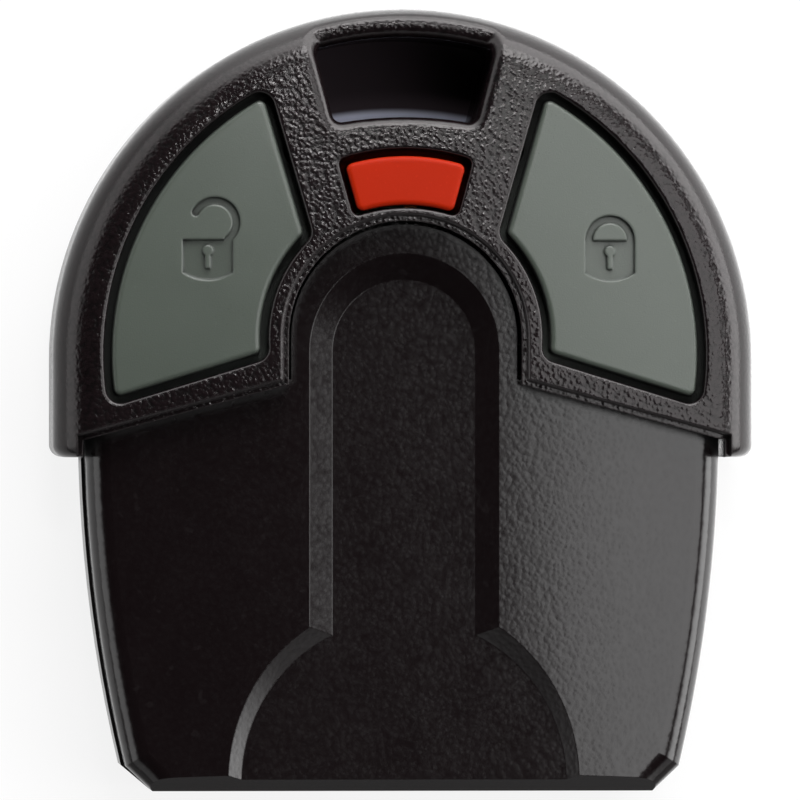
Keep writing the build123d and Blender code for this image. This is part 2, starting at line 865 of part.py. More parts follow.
# Coin cell: a can, the cap that closes it and the gasket between the two
cell_axis = Axis((0, head_y + cell_middle, 0), (0, 0, 1))
cell_plane = Plane(origin=(0, head_y + cell_middle, 0), x_dir=(1, 0, 0), z_dir=(0, -1, 0))
cell_low = rear_wall
cell_top = rear_wall + cell_height
gasket_radius = cell_radius - can_wall
cap_radius = gasket_radius - gasket_width
can_top = cell_top - can_wall

with BuildPart() as coin_cell_can:
    with BuildSketch(cell_plane):
        with BuildLine():
            Polyline(
                (0, cell_low),
                (cell_radius, cell_low),
                (cell_radius, can_top),
                (gasket_radius, can_top),
                (gasket_radius, cell_low + can_wall),
                (0, cell_low + can_wall),
                (0, cell_low),
            )
        make_face()
    revolve(axis=cell_axis)
coin_cell_can.part.label = "coin_cell_can"

with BuildPart() as coin_cell_gasket:
    with BuildSketch(cell_plane):
        with BuildLine():
            Polyline(
                (cap_radius, cell_low + can_wall),
                (gasket_radius, cell_low + can_wall),
                (gasket_radius, can_top),
                (cap_radius, can_top),
                (cap_radius, cell_low + can_wall),
            )
        make_face()
    revolve(axis=cell_axis)
coin_cell_gasket.part.label = "coin_cell_gasket"

with BuildPart() as coin_cell_cap:
    with BuildSketch(cell_plane):
        with BuildLine():
            Polyline(
                (0, cell_low + can_wall),
                (cap_radius, cell_low + can_wall),
                (cap_radius, can_top),
                (cap_radius - can_wall, cell_top),
                (0, cell_top),
                (0, cell_low + can_wall),
            )
        make_face()
    revolve(axis=cell_axis)
coin_cell_cap.part.label = "coin_cell_cap"

# Spring leaf from the board to the cell's cap
leaf_back = head_y + cell_middle + leaf_width / 2
leaf_plane = Plane(origin=(0, leaf_back, 0), x_dir=(1, 0, 0), z_dir=(0, -1, 0))
with BuildPart() as negative_contact:
    with BuildSketch(leaf_plane):
        with BuildLine():
            Polyline(
                (-cap_radius + rib, board_low),
                (-leaf_width + rib, board_low),
                (rib, cell_top + leaf_thickness),
                (leaf_width, cell_top + leaf_thickness),
                (leaf_width, cell_top),
                (0, cell_top),
                (-leaf_width, board_low - leaf_thickness),
                (-cap_radius + rib, board_low - leaf_thickness),
                (-cap_radius + rib, board_low),
            )
        make_face()
    extrude(amount=leaf_width)
negative_contact.part.label = "negative_contact"

# Angled leaf from the board to the side of the cell's can
contact_x = cell_radius + contact_gap
with BuildPart() as positive_contact:
    with BuildSketch(leaf_plane):
        with BuildLine():
            Polyline(
                (contact_x, cell_low + rib),
                (contact_x + leaf_thickness, cell_low + rib),
                (contact_x + leaf_thickness, board_low - leaf_thickness),
                (contact_x + 2 * rib, board_low - leaf_thickness),
                (contact_x + 2 * rib, board_low),
                (contact_x, board_low),
                (contact_x, cell_low + rib),
            )
        make_face()
    extrude(amount=leaf_width)
positive_contact.part.label = "positive_contact"

# Front cover of the drawer, with the keyhole-shaped recess
with BuildPart() as drawer_front_cover:
    crowned_slab(drawer_parting, drawer_top)
    with BuildSketch(level(drawer_parting)):
        drawer_plan(cover_step)
        nest_plan(-slide_gap, lip, -drawer_back)
    extrude(amount=head_thickness, mode=Mode.INTERSECT)
    cover_edges = rim_edges(outline_of(drawer_plan, cover_step), drawer_front, cap_sink)
    side_edges = [edge for edge in cover_edges if abs(edge.center().X) > drawer_end_half - drawer_corner_x]
    fillet(side_edges, side_round)
    box_between((-far, drawer_back, drawer_parting), (far, far, tongue_low), mode=Mode.SUBTRACT)
    with BuildSketch(level(drawer_top)):
        keyhole_plan(recess_half, flare_radius)
    with BuildSketch(level(drawer_top - recess_depth)):
        keyhole_plan(recess_floor_half, flare_floor_radius)
    loft(ruled=True, mode=Mode.SUBTRACT)
    with BuildSketch(Plane(origin=(-far, head_y + end_y, drawer_top), x_dir=(0, 1, 0), z_dir=(1, 0, 0))):
        with BuildLine():
            Polyline(
                (-end_bevel, recess_depth),
                (end_bevel, recess_depth),
                (end_bevel, 0),
                (0, -end_bevel_height),
                (-end_bevel, -end_bevel_height),
                (-end_bevel, recess_depth),
            )
        make_face()
    extrude(amount=2 * far, mode=Mode.SUBTRACT)
    with BuildSketch(level(drawer_parting)):
        drawer_plan(cover_step + drawer_wall)
        with Locations((0, drawer_back - drawer_wall + far)):
            Rectangle(2 * far, 2 * far, mode=Mode.SUBTRACT)
        with Locations((0, end_y + drawer_wall - far)):
            Rectangle(2 * far, 2 * far, mode=Mode.SUBTRACT)
    extrude(amount=drawer_ceiling - drawer_parting, mode=Mode.SUBTRACT)
    with BuildSketch(level(drawer_parting)):
        nest_plan(-slide_gap - drawer_wall, lip, -drawer_back + drawer_wall)
        with Locations((0, drawer_back + drawer_wall - far)):
            Rectangle(2 * far, 2 * far, mode=Mode.SUBTRACT)
    extrude(amount=drawer_ceiling - drawer_parting, mode=Mode.SUBTRACT)
    for place in screw_places(drawer_screw):
        post(place, boss_radius, drawer_parting, drawer_ceiling)
        post(place, screw_radius + pilot_gap, drawer_parting, drawer_ceiling - slide_gap, mode=Mode.SUBTRACT)
    blade_end = end_y + blade_depth
    inner_end = end_y + drawer_wall / 2
    for x in (-blade_width / 2 - rib, blade_width / 2):
        box_between((x, inner_end, drawer_parting), (x + rib, blade_end, drawer_ceiling))
    blade_top = drawer_parting + blade_thickness / 2
    box_between((-rib / 2, inner_end, blade_top), (rib / 2, blade_end, drawer_ceiling))
    box_between(
        (-blade_width / 2, end_y - rib, drawer_parting),
        (blade_width / 2, end_y + drawer_wall + rib, blade_top),
        mode=Mode.SUBTRACT,
    )
drawer_front_cover.part.label = "drawer_front_cover"

# Rear cover of the drawer, with its guide arms, screw posts and the pin for the blade
with BuildPart() as drawer_rear_cover:
    with BuildSketch(level(0)):
        drawer_plan()
    extrude(amount=drawer_parting)
    foot_edges = rim_edges(outline_of(drawer_plan), lambda x, y: 0, rear_bevel / 2)
    back_y = head_y + drawer_back - rear_bevel / 2
    chamfer([edge for edge in foot_edges if edge.center().Y < back_y], rear_bevel)
    with BuildSketch(level(rear_wall)):
        drawer_plan(drawer_wall)
        with Locations((0, drawer_back - drawer_wall + far)):
            Rectangle(2 * far, 2 * far, mode=Mode.SUBTRACT)
        with Locations((0, end_y + drawer_wall - far)):
            Rectangle(2 * far, 2 * far, mode=Mode.SUBTRACT)
    extrude(amount=drawer_parting, mode=Mode.SUBTRACT)
    for middle in (-arm_middle, arm_middle):
        box_between(
            (middle - arm_width / 2, drawer_back - drawer_wall, rear_wall + arm_lift),
            (middle + arm_width / 2, drawer_back + arm_length, rear_wall + arm_lift + arm_thickness),
        )
    for place in screw_places(drawer_screw):
        post(place, screw_head_radius + slide_gap + boss_wall, rear_wall / 2, drawer_parting)
        post(place, screw_head_radius + slide_gap, 0, screw_seat, mode=Mode.SUBTRACT)
        post(place, screw_radius + slide_gap, 0, drawer_parting, mode=Mode.SUBTRACT)
    blade_low = drawer_parting - blade_thickness / 2
    for x in (-blade_width / 2 - rib, blade_width / 2):
        box_between((x, inner_end, rear_wall / 2), (x + rib, blade_end, drawer_parting))
    for x in (-blade_width / 4, blade_width / 4):
        box_between((x - rib / 2, inner_end, rear_wall / 2), (x + rib / 2, blade_end, blade_low))
    post((0, end_y + blade_pin_back), blade_pin_radius, rear_wall / 2, drawer_parting + blade_thickness / 4)
    box_between(
        (-blade_width / 2, end_y - rib, blade_low),
        (blade_width / 2, end_y + drawer_wall + rib, drawer_parting),
        mode=Mode.SUBTRACT,
    )
drawer_rear_cover.part.label = "drawer_rear_cover"

# Screws of the head, and the shorter ones of the drawer
with BuildPart() as head_screws:
    for place in screw_places(head_screw):
        screw(place, screw_seat, screw_length)
head_screws.part.label = "head_screws"

with BuildPart() as drawer_screws:
    for place in screw_places(drawer_screw):
        screw(place, screw_seat, drawer_ceiling - 2 * slide_gap - screw_seat)
drawer_screws.part.label = "drawer_screws"

pieces = (
    front_shell,
    rear_shell,
    unlock_button,
    lock_button,
    panic_button,
    circuit_board,
    unlock_switch,
    lock_switch,
    panic_switch,
    unlock_plunger,
    lock_plunger,
    panic_plunger,
    microcontroller,
    saw_resonator,
    rf_transistor,
    trimmer_capacitor,
    loop_antenna,
    chip_components,
    coin_cell_can,
    coin_cell_gasket,
    coin_cell_cap,
    negative_contact,
    positive_contact,
    head_screws,
    drawer_front_cover,
    drawer_rear_cover,
    drawer_screws,
)
os.makedirs("parts", exist_ok=True)
for piece in pieces:
    export_step(piece.part, f"parts/{piece.part.label}.step")
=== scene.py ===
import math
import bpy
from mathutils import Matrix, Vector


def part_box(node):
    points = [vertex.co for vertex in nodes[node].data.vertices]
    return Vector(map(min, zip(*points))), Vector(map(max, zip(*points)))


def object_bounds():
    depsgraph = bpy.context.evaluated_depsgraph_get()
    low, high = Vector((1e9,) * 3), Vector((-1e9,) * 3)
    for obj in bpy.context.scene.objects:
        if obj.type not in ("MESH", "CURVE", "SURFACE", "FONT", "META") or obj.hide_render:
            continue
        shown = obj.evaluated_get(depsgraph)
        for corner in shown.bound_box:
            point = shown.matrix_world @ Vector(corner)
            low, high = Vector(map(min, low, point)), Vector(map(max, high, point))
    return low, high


bl_info = {
    "name": "Car alarm remote",
    "version": (1, 0, 0),
    "blender": (4, 5, 0),
    "location": "3D View > Sidebar > Remote",
    "description": "Dresses the packed car alarm remote in its moulded plastics, steels and circuit board",
    "category": "Object",
}

import bpy
from bpy.props import FloatProperty, FloatVectorProperty, PointerProperty
from mathutils import Vector

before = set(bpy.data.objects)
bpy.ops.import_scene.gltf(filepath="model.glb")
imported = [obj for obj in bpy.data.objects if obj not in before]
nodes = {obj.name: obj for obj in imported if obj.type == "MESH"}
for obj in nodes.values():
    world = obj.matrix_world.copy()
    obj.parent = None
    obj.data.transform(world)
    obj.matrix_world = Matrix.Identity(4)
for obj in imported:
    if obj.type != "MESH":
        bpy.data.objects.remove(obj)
cad_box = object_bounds()
MILLIMETRE = 0.001
MICRON = 0.000001


def colour(name, description, default):
    """A colour property of a finish."""
    return FloatVectorProperty(
        name=name, description=description, default=default, min=0.0, max=1.0, size=3, subtype="COLOR"
    )


def length(name, description, default):
    """A length property in metres."""
    return FloatProperty(
        name=name, description=description, default=default, min=0.0, unit="LENGTH", precision=5
    )


def share(name, description, default):
    """A property between 0 and 1."""
    return FloatProperty(
        name=name, description=description, default=default, min=0.0, max=1.0, subtype="FACTOR"
    )


def power(name, description, default):
    """A lamp's power in watts."""
    return FloatProperty(name=name, description=description, default=default, min=0.0, unit="POWER")


def strength(name, description, default, least=0.0):
    """How strongly the floor or the surroundings glow."""
    return FloatProperty(name=name, description=description, default=default, min=least)


class HeadFinish(bpy.types.PropertyGroup):
    """The grained black plastic of the head's two shells"""

    tint: colour("Plastic", "Colour of the moulded head", (0.0038, 0.0024, 0.0027))
    grain: length("Grain size", "Width of one pebble of the leather grain", 0.00027)
    grain_depth: length("Grain depth", "How deep the grain's creases are", 0.000045)
    edge_radius: length("Edge radius", "How far the sharp edges are eased", 0.00014)
    worn_width: length("Worn width", "How far the wear reaches in from an edge", 0.00022)
    roughness: share("Roughness", "Roughness of the pebbles' tops", 0.15)
    gloss: colour("Gloss", "Colour of the light that the plastic mirrors", (1.0, 0.97, 0.97))


class CapFinish(bpy.types.PropertyGroup):
    """The fine-textured plastic of the three buttons"""

    grey: colour("Grey caps", "Colour of the lock and unlock caps", (0.049, 0.0585, 0.0485))
    red: colour("Panic cap", "Colour of the panic cap", (0.27, 0.012, 0.002))
    grain: length("Grain size", "Width of the spark-eroded texture's grains", 0.00009)
    grain_depth: length("Grain depth", "Height of the spark-eroded texture's grains", 0.000006)
    edge_radius: length("Edge radius", "How far the sharp edges are eased", 0.00022)
    worn_width: length("Worn width", "How far the wear reaches in from an edge", 0.00016)
    # Gaps within this reach are darkened with painted shade and made dull.
    gap_reach: length("Gap reach", "Width of the gaps that are dark and dull", 0.0012)
    roughness: share("Roughness", "Roughness of the caps", 0.30)


class DrawerFinish(bpy.types.PropertyGroup):
    """The smoother black plastic of the blade holder drawer"""

    tint: colour("Plastic", "Colour of the moulded drawer", (0.0038, 0.0022, 0.0025))
    grain: length("Grain size", "Width of one pebble of the shallow leather grain", 0.00032)
    grain_depth: length("Grain depth", "How deep the shallow grain's creases are", 0.000007)
    edge_radius: length("Edge radius", "How far the sharp edges are eased", 0.00008)
    worn_width: length("Worn width", "How far the wear reaches in from an edge", 0.00016)
    # Gaps within this reach are darkened with painted shade and made dull.
    gap_reach: length("Gap reach", "Width of the gaps that are dark and dull", 0.0012)
    roughness: share("Roughness", "Roughness of the drawer", 0.155)


class InsideFinish(bpy.types.PropertyGroup):
    """The board, its parts, the cell and the screws"""

    mask: colour("Solder mask", "Colour of the board's solder mask", (0.010, 0.085, 0.030))
    copper: colour("Copper", "Colour of bare copper and tracks", (0.72, 0.32, 0.14))
    resin: colour("Resin", "Colour of moulded chip packages", (0.016, 0.016, 0.018))
    ceramic: colour("Ceramic", "Colour of the small fired parts on the board", (0.32, 0.24, 0.17))
    trimmer: colour("Trimmer", "Colour of the trimmer capacitor's body", (0.55, 0.22, 0.05))
    nylon: colour("Nylon", "Colour of the switches' plungers", (0.30, 0.18, 0.07))
    gasket: colour("Gasket", "Colour of the coin cell's gasket", (0.05, 0.05, 0.055))
    steel: colour("Steel", "Colour of screws, contacts and the cell", (0.60, 0.60, 0.58))
    track_pitch: length("Track pitch", "Distance between neighbouring tracks", 0.0011)


class StageSettings(bpy.types.PropertyGroup):
    """The floor, the lights and the camera"""

    floor: colour("Floor", "Colour of the floor", (0.90, 0.90, 0.90))
    floor_gloss: strength(
        "Floor in mirrors", "Strength of the floor's bright side as the remote mirrors it", 2.4, least=1.0
    )
    camera_distance: length("Camera distance", "From the lens to the middle of the remote", 0.90)
    frame_width: length("Frame width", "Width of the view at the middle of the remote", 0.0516)
    camera_lean: FloatProperty(
        name="Camera lean", description="How far the camera stands to the left of straight above",
        default=math.radians(3.1), subtype="ANGLE",
    )
    key_power: power("Key light", "Power of the large lamp above the right side", 0.74)
    top_power: power("Top light", "Power of the small lamp past the keyring slot", 0.20)
    back_power: power("Back light", "Power of the wide lamp behind the keyring slot", 1.2)
    horizon: strength("Horizon", "Strength of the surroundings all round", 1.75)
    bright_side: strength("Bright side", "Strength added behind the right of the remote", 4.4)
    zenith: strength("Zenith", "Strength of the surroundings overhead", 0.02)


def shaded(tint, factor, lift=0.0):
    """A colour times factor, with lift added, and no brighter than white."""
    return [min(1.0, factor * part + lift) for part in tint]


def plain(level):
    """A colour without a hue."""
    return (level, level, level)


class Level:
    """A number at each point of a surface, so that shader maths reads as plain sums."""

    def __init__(self, builder, socket):
        self.builder = builder
        self.socket = socket

    def worked(self, operation, first, second):
        """One Math node."""
        return self.builder.level("ShaderNodeMath", {"operation": operation}, {0: first, 1: second})

    def __add__(self, other):
        return self.worked("ADD", self, other)

    def __sub__(self, other):
        return self.worked("SUBTRACT", self, other)

    def __rsub__(self, other):
        return self.worked("SUBTRACT", other, self)

    def __mul__(self, other):
        return self.worked("MULTIPLY", self, other)

    __radd__ = __add__
    __rmul__ = __mul__


class Nodes:
    """Adds nodes to one tree."""

    def __init__(self, tree):
        self.tree = tree

    def fill(self, node, sockets):
        """Gives a node's sockets their values or links."""
        for key, given in sockets.items():
            socket = node.inputs[key.replace("_", " ") if isinstance(key, str) else key]
            if isinstance(given, Level):
                given = given.socket
            if isinstance(given, bpy.types.NodeSocket):
                self.tree.links.new(given, socket)
            elif socket.type == "RGBA" and len(given) == 3:
                socket.default_value = (*given, 1.0)
            else:
                socket.default_value = given

    def node(self, kind, settings=None, sockets=None):
        """One node of a type, with its settings made before its sockets are filled."""
        node = self.tree.nodes.new(kind)
        for key, given in (settings or {}).items():
            setattr(node, key, given)
        self.fill(node, sockets or {})
        return node

    def level(self, kind, settings=None, sockets=None, output=0):
        """A node's output as a number to work with."""
        return Level(self, self.node(kind, settings, sockets).outputs[output])

    def ramp(self, level, low, high):
        """0 where level is at low or below, 1 at high or above, with a soft turn between."""
        sockets = {"Value": level, "From Min": low, "From Max": high}
        return self.level("ShaderNodeMapRange", {"interpolation_type": "SMOOTHSTEP"}, sockets)

    def axes(self, vector):
        """A vector's three parts as numbers to work with."""
        parted = self.node("ShaderNodeSeparateXYZ", {}, {"Vector": vector})
        return [Level(self, part) for part in parted.outputs]


class Finish(Nodes):
    """A procedural material under construction."""

    def __init__(self, name, **uniform):
        self.material = bpy.data.materials.new(name)
        self.material.use_nodes = True
        super().__init__(self.material.node_tree)
        self.shader = self.tree.nodes["Principled BSDF"]
        self.fill(self.shader, uniform)
        self.place = self.node("ShaderNodeTexCoord").outputs["Object"]
        self.straight = self.node("ShaderNodeNewGeometry").outputs["Normal"]

    def noise(self, size, detail=2.0, place=None):
        """Soft noise whose lumps are about size across, from 0 to 1."""
        sockets = {"Vector": place or self.place, "Scale": 1.0 / size, "Detail": detail}
        return self.level("ShaderNodeTexNoise", {}, sockets)

    def mix(self, factor, first, second):
        """Two colours mixed."""
        sockets = {0: factor, 6: first, 7: second}
        return self.node("ShaderNodeMix", {"data_type": "RGBA"}, sockets).outputs[2]

    def distance(self, point):
        """How far the surface is from a point."""
        sockets = {0: self.place, 1: point}
        return self.level("ShaderNodeVectorMath", {"operation": "DISTANCE"}, sockets, output="Value")

    def bump(self, height, depth, normal=None):
        """A surface normal from a height between 0 and 1 that stands for depth."""
        sockets = {"Height": height, "Distance": depth, "Strength": 1.0}
        if normal:
            sockets["Normal"] = normal
        return self.node("ShaderNodeBump", {}, sockets).outputs[0]

    def rounded(self, radius):
        """The surface normal with every sharp edge eased by radius."""
        return self.node("ShaderNodeBevel", {"samples": 6}, {"Radius": radius}).outputs[0]

    def wear(self, radius):
        """1 along outer and inner edges, fading over radius, and 0 on open faces."""
        sockets = {0: self.rounded(radius), 1: self.straight}
        match = self.level("ShaderNodeVectorMath", {"operation": "DOT_PRODUCT"}, sockets, output="Value")
        straight_on, turned = 0.995, 0.90
        return self.ramp(match, straight_on, turned)

    def open_air(self, reach):
        """1 on open faces, falling to 0 deep in creases and gaps no wider than reach."""
        seen = self.level("ShaderNodeAmbientOcclusion", {"samples": 8}, {"Distance": reach}, output="AO")
        hidden, clear = 0.25, 0.75
        return self.ramp(seen, hidden, clear)

    def facing_up(self, least, most):
        """0 where the normal's rise is least or less, 1 where it is most or more."""
        return self.ramp(self.axes(self.straight)[2], least, most)

    def show(self, **sockets):
        """Links what varies over the surface to the shader."""
        self.fill(self.shader, sockets)
        return self.material


def dress(names, material):
    """Gives CAD nodes one material."""
    for name in names:
        slots = nodes[name].data.materials
        slots.clear()
        slots.append(material)


def wrinkles(finish, size):
    """Uneven domed pebbles that run into one another, as on leather-grained plastic, from about 0 to 1."""
    sway = 0.7 * size
    sockets = {"Vector": finish.place, "Scale": 0.8 / size, "Detail": 2.0}
    shift = finish.node("ShaderNodeTexNoise", {}, sockets).outputs["Color"]
    sockets = {0: shift, 1: plain(sway), 2: finish.place}
    bent = finish.node("ShaderNodeVectorMath", {"operation": "MULTIPLY_ADD"}, sockets).outputs[0]
    sockets = {"Vector": bent, "Scale": 1.0 / size, "Smoothness": 0.6}
    cells = finish.level("ShaderNodeTexVoronoi", {"feature": "SMOOTH_F1"}, sockets)
    swell = finish.noise(size * 2.3, 2.0)
    return (1 - cells) * 0.7 + swell * 0.5


def grained_head(settings):
    """Black plastic whose leather grain fades toward the rim, rubbed in places by the hand, and painted
    darker in the grain's creases.
    """
    rim_grain = 0.2
    finish = Finish("Grained head plastic", Specular_IOR_Level=0.36, Specular_Tint=settings.gloss)
    pebbles = wrinkles(finish, settings.grain)
    speck = finish.noise(settings.grain * 0.35, 2.0)
    handling = finish.noise(6 * MILLIMETRE, 3.0)
    worn = finish.wear(settings.worn_width)
    tops = finish.ramp(pebbles, 0.35, 0.75)
    # The colour runs from half the tint in the grain's creases, a painted shade, to half again on the worn
    # pebble tops.
    worn_tops_and_crease_shade = finish.mix(tops, shaded(settings.tint, 0.5), shaded(settings.tint, 1.5))
    tint = finish.mix(worn * 0.5, worn_tops_and_crease_shade, shaded(settings.tint, 3.0))
    rough = settings.roughness + (1 - tops) * 0.10 + (handling - 0.5) * 0.12 + worn * 0.40
    fade = finish.facing_up(0.80, 0.97) * (1 - rim_grain) + rim_grain
    height = (pebbles + speck * 0.12 - 0.6) * fade
    grained = finish.bump(height, settings.grain_depth, finish.rounded(settings.edge_radius))
    return finish.show(Base_Color=tint, Roughness=rough, Normal=grained)


def matte_plastic(name, tint, settings, mottle, sheen=0.5, leather=False):
    """Plastic from a spark-eroded or leather-etched tool, with faint clouds, eased edges, and painted shade
    that darkens its gaps.
    """
    gap_roughness = 0.95
    # Painted shade: deep in creases and gaps the colour falls to this share of the tint.
    gap_shade = 0.04
    finish = Finish(name, Specular_IOR_Level=sheen)
    fine = wrinkles(finish, settings.grain) if leather else finish.noise(settings.grain, 3.0)
    cloud = finish.noise(3.5 * MILLIMETRE, 4.0)
    speck = finish.ramp(finish.noise(settings.grain * 2.2, 1.0), 0.66, 0.78)
    worn = finish.wear(settings.worn_width)
    base = finish.mix(cloud, shaded(tint, 1 - mottle), shaded(tint, 1 + mottle))
    flecked = finish.mix(speck * 0.22, base, shaded(tint, 1.5, 0.01))
    rubbed = finish.mix(worn * 0.35, flecked, shaded(tint, 1.35, 0.008))
    open_air = finish.open_air(settings.gap_reach)
    # Painted shade in the gaps, found by ambient occlusion.
    shaded_in_gaps = finish.mix(open_air, shaded(tint, gap_shade), rubbed)
    in_the_open = settings.roughness + (cloud - 0.5) * 0.05 + (fine - 0.5) * 0.10 - worn * 0.06
    rough = (in_the_open - gap_roughness) * open_air + gap_roughness
    textured = finish.bump(fine, settings.grain_depth, finish.rounded(settings.edge_radius))
    return finish.show(Base_Color=shaded_in_gaps, Roughness=rough, Normal=textured)


def drawn_steel(name, tint, roughness, plating=0.0):
    """Bright metal with fine scratches one way and faint stains."""
    squeeze = 14.0
    finish = Finish(name)
    sockets = {"Vector": finish.place, "Scale": (1.0, squeeze, 1.0)}
    stretched = finish.node("ShaderNodeMapping", {}, sockets).outputs[0]
    scratches = finish.noise(0.6 * MILLIMETRE, 4.0, stretched)
    stains = finish.noise(2.2 * MILLIMETRE, 3.0)
    return finish.show(
        Base_Color=finish.mix(stains, shaded(tint, 0.72), tint),
        Roughness=roughness + (scratches - 0.5) * 0.18 + stains * 0.08,
        Metallic=1.0 - finish.ramp(stains, 0.62, 0.9) * plating,
        Normal=finish.bump(scratches, 3 * MICRON),
    )


def solder_mask(settings):
    """A board's solder mask over its tracks, with round bare pads among them."""
    finish = Finish("Board solder mask", Specular_IOR_Level=0.5)
    across, along, _ = finish.axes(finish.place)
    bend = finish.ramp(finish.noise(9 * MILLIMETRE, 0.0), 0.47, 0.53)
    run = across * bend + along * (1 - bend)
    wave = run.worked("PINGPONG", run, settings.track_pitch / 2)
    track = finish.ramp(wave, settings.track_pitch * 0.28, settings.track_pitch * 0.32)
    sockets = {"Vector": finish.place, "Scale": 1.0 / (2.6 * MILLIMETRE)}
    dots = finish.level("ShaderNodeTexVoronoi", {"feature": "F1"}, sockets)
    pad = 1 - finish.ramp(dots, 0.16, 0.19)
    masked = finish.mix(track, settings.mask, shaded(settings.mask, 1.7, 0.01))
    tint = finish.mix(pad, masked, settings.copper)
    weave = finish.noise(0.3 * MILLIMETRE, 2.0)
    return finish.show(
        Base_Color=tint, Metallic=pad, Roughness=0.28 + weave * 0.14 + pad * 0.08,
        Normal=finish.bump(track * 0.6 + pad * 0.4 + weave * 0.1, 30 * MICRON),
    )


def speckled(name, tint, roughness, grain, depth):
    """A fine granular body: cast resin, fired ceramic or moulded rubber."""
    finish = Finish(name, Specular_IOR_Level=0.45)
    grains = finish.noise(grain, 3.0)
    cloud = finish.noise(9 * grain, 2.0)
    base = finish.mix(grains * 0.6 + cloud * 0.4, shaded(tint, 0.75), shaded(tint, 1.25))
    return finish.show(
        Base_Color=base, Roughness=roughness + (grains - 0.5) * 0.2, Normal=finish.bump(grains, depth)
    )


class REMOTE_OT_head(bpy.types.Operator):
    """Gives both shells of the head their leather-grained plastic"""

    bl_idname = "remote.head"
    bl_label = "Head shells"

    def execute(self, context):
        dress(["front_shell", "rear_shell"], grained_head(context.scene.remote_head))
        return {"FINISHED"}


class REMOTE_OT_caps(bpy.types.Operator):
    """Gives the lock and unlock caps their grey plastic and the panic cap its red one"""

    bl_idname = "remote.caps"
    bl_label = "Button caps"

    def execute(self, context):
        caps = context.scene.remote_caps
        grey = matte_plastic("Grey cap plastic", caps.grey, caps, mottle=0.06)
        red = matte_plastic("Red cap plastic", caps.red, caps, mottle=0.10, sheen=0.05)
        dress(["unlock_button", "lock_button"], grey)
        dress(["panic_button"], red)
        return {"FINISHED"}


class REMOTE_OT_drawer(bpy.types.Operator):
    """Gives both covers of the blade holder drawer their matte black plastic"""

    bl_idname = "remote.drawer"
    bl_label = "Drawer covers"

    def execute(self, context):
        drawer = context.scene.remote_drawer
        black = matte_plastic("Matte drawer plastic", drawer.tint, drawer, mottle=0.08, leather=True)
        dress(["drawer_front_cover", "drawer_rear_cover"], black)
        return {"FINISHED"}


class REMOTE_OT_screws(bpy.types.Operator):
    """Gives the four screws their zinc-plated steel"""

    bl_idname = "remote.screws"
    bl_label = "Screws"

    def execute(self, context):
        steel = context.scene.remote_inside.steel
        plated = drawn_steel("Plated screw steel", steel, roughness=0.30, plating=0.2)
        dress(["head_screws", "drawer_screws"], plated)
        return {"FINISHED"}


class REMOTE_OT_battery(bpy.types.Operator):
    """Dresses the coin cell, its gasket and the two spring contacts"""

    bl_idname = "remote.battery"
    bl_label = "Coin cell and contacts"

    def execute(self, context):
        inside = context.scene.remote_inside
        red, green, blue = inside.steel
        yellowed = (0.95 * red, 0.92 * green, 0.80 * blue)
        cell = drawn_steel("Cell steel", inside.steel, roughness=0.34)
        spring = drawn_steel("Contact spring steel", yellowed, roughness=0.26)
        gasket = speckled("Cell gasket", inside.gasket, 0.6, grain=120 * MICRON, depth=4 * MICRON)
        dress(["coin_cell_can", "coin_cell_cap"], cell)
        dress(["negative_contact", "positive_contact"], spring)
        dress(["coin_cell_gasket"], gasket)
        return {"FINISHED"}


class REMOTE_OT_board(bpy.types.Operator):
    """Dresses the circuit board, its copper antenna and the parts that stand on it"""

    bl_idname = "remote.board"
    bl_label = "Circuit board"

    def execute(self, context):
        inside = context.scene.remote_inside
        copper = drawn_steel("Antenna copper", inside.copper, roughness=0.32)
        resin = speckled("Chip resin", inside.resin, 0.52, grain=80 * MICRON, depth=5 * MICRON)
        fired = speckled("Fired ceramic", inside.ceramic, 0.38, grain=100 * MICRON, depth=3 * MICRON)
        can = drawn_steel("Resonator can", inside.steel, roughness=0.24)
        body = speckled("Trimmer body", inside.trimmer, 0.42, grain=100 * MICRON, depth=4 * MICRON)
        dress(["circuit_board"], solder_mask(inside))
        dress(["loop_antenna"], copper)
        dress(["microcontroller", "rf_transistor"], resin)
        dress(["chip_components"], fired)
        dress(["saw_resonator"], can)
        dress(["trimmer_capacitor"], body)
        return {"FINISHED"}


class REMOTE_OT_switches(bpy.types.Operator):
    """Dresses the three push switches and their plungers"""

    bl_idname = "remote.switches"
    bl_label = "Push switches"

    def execute(self, context):
        inside = context.scene.remote_inside
        resin = speckled("Switch body resin", inside.resin, 0.48, grain=100 * MICRON, depth=4 * MICRON)
        nylon = speckled("Switch plunger nylon", inside.nylon, 0.40, grain=150 * MICRON, depth=3 * MICRON)
        dress(["unlock_switch", "lock_switch", "panic_switch"], resin)
        dress(["unlock_plunger", "lock_plunger", "panic_plunger"], nylon)
        return {"FINISHED"}


def area_lamp(name, target, watts, place, width, height):
    """A soft rectangular lamp that faces its target."""
    lamp = bpy.data.lights.new(name, "AREA")
    lamp.shape = "RECTANGLE"
    lamp.size = width
    lamp.size_y = height
    lamp.energy = watts
    stand = bpy.data.objects.new(name, lamp)
    bpy.context.scene.collection.objects.link(stand)
    stand.location = place
    stand.rotation_euler = (Vector(place) - target).to_track_quat("Z", "Y").to_euler()


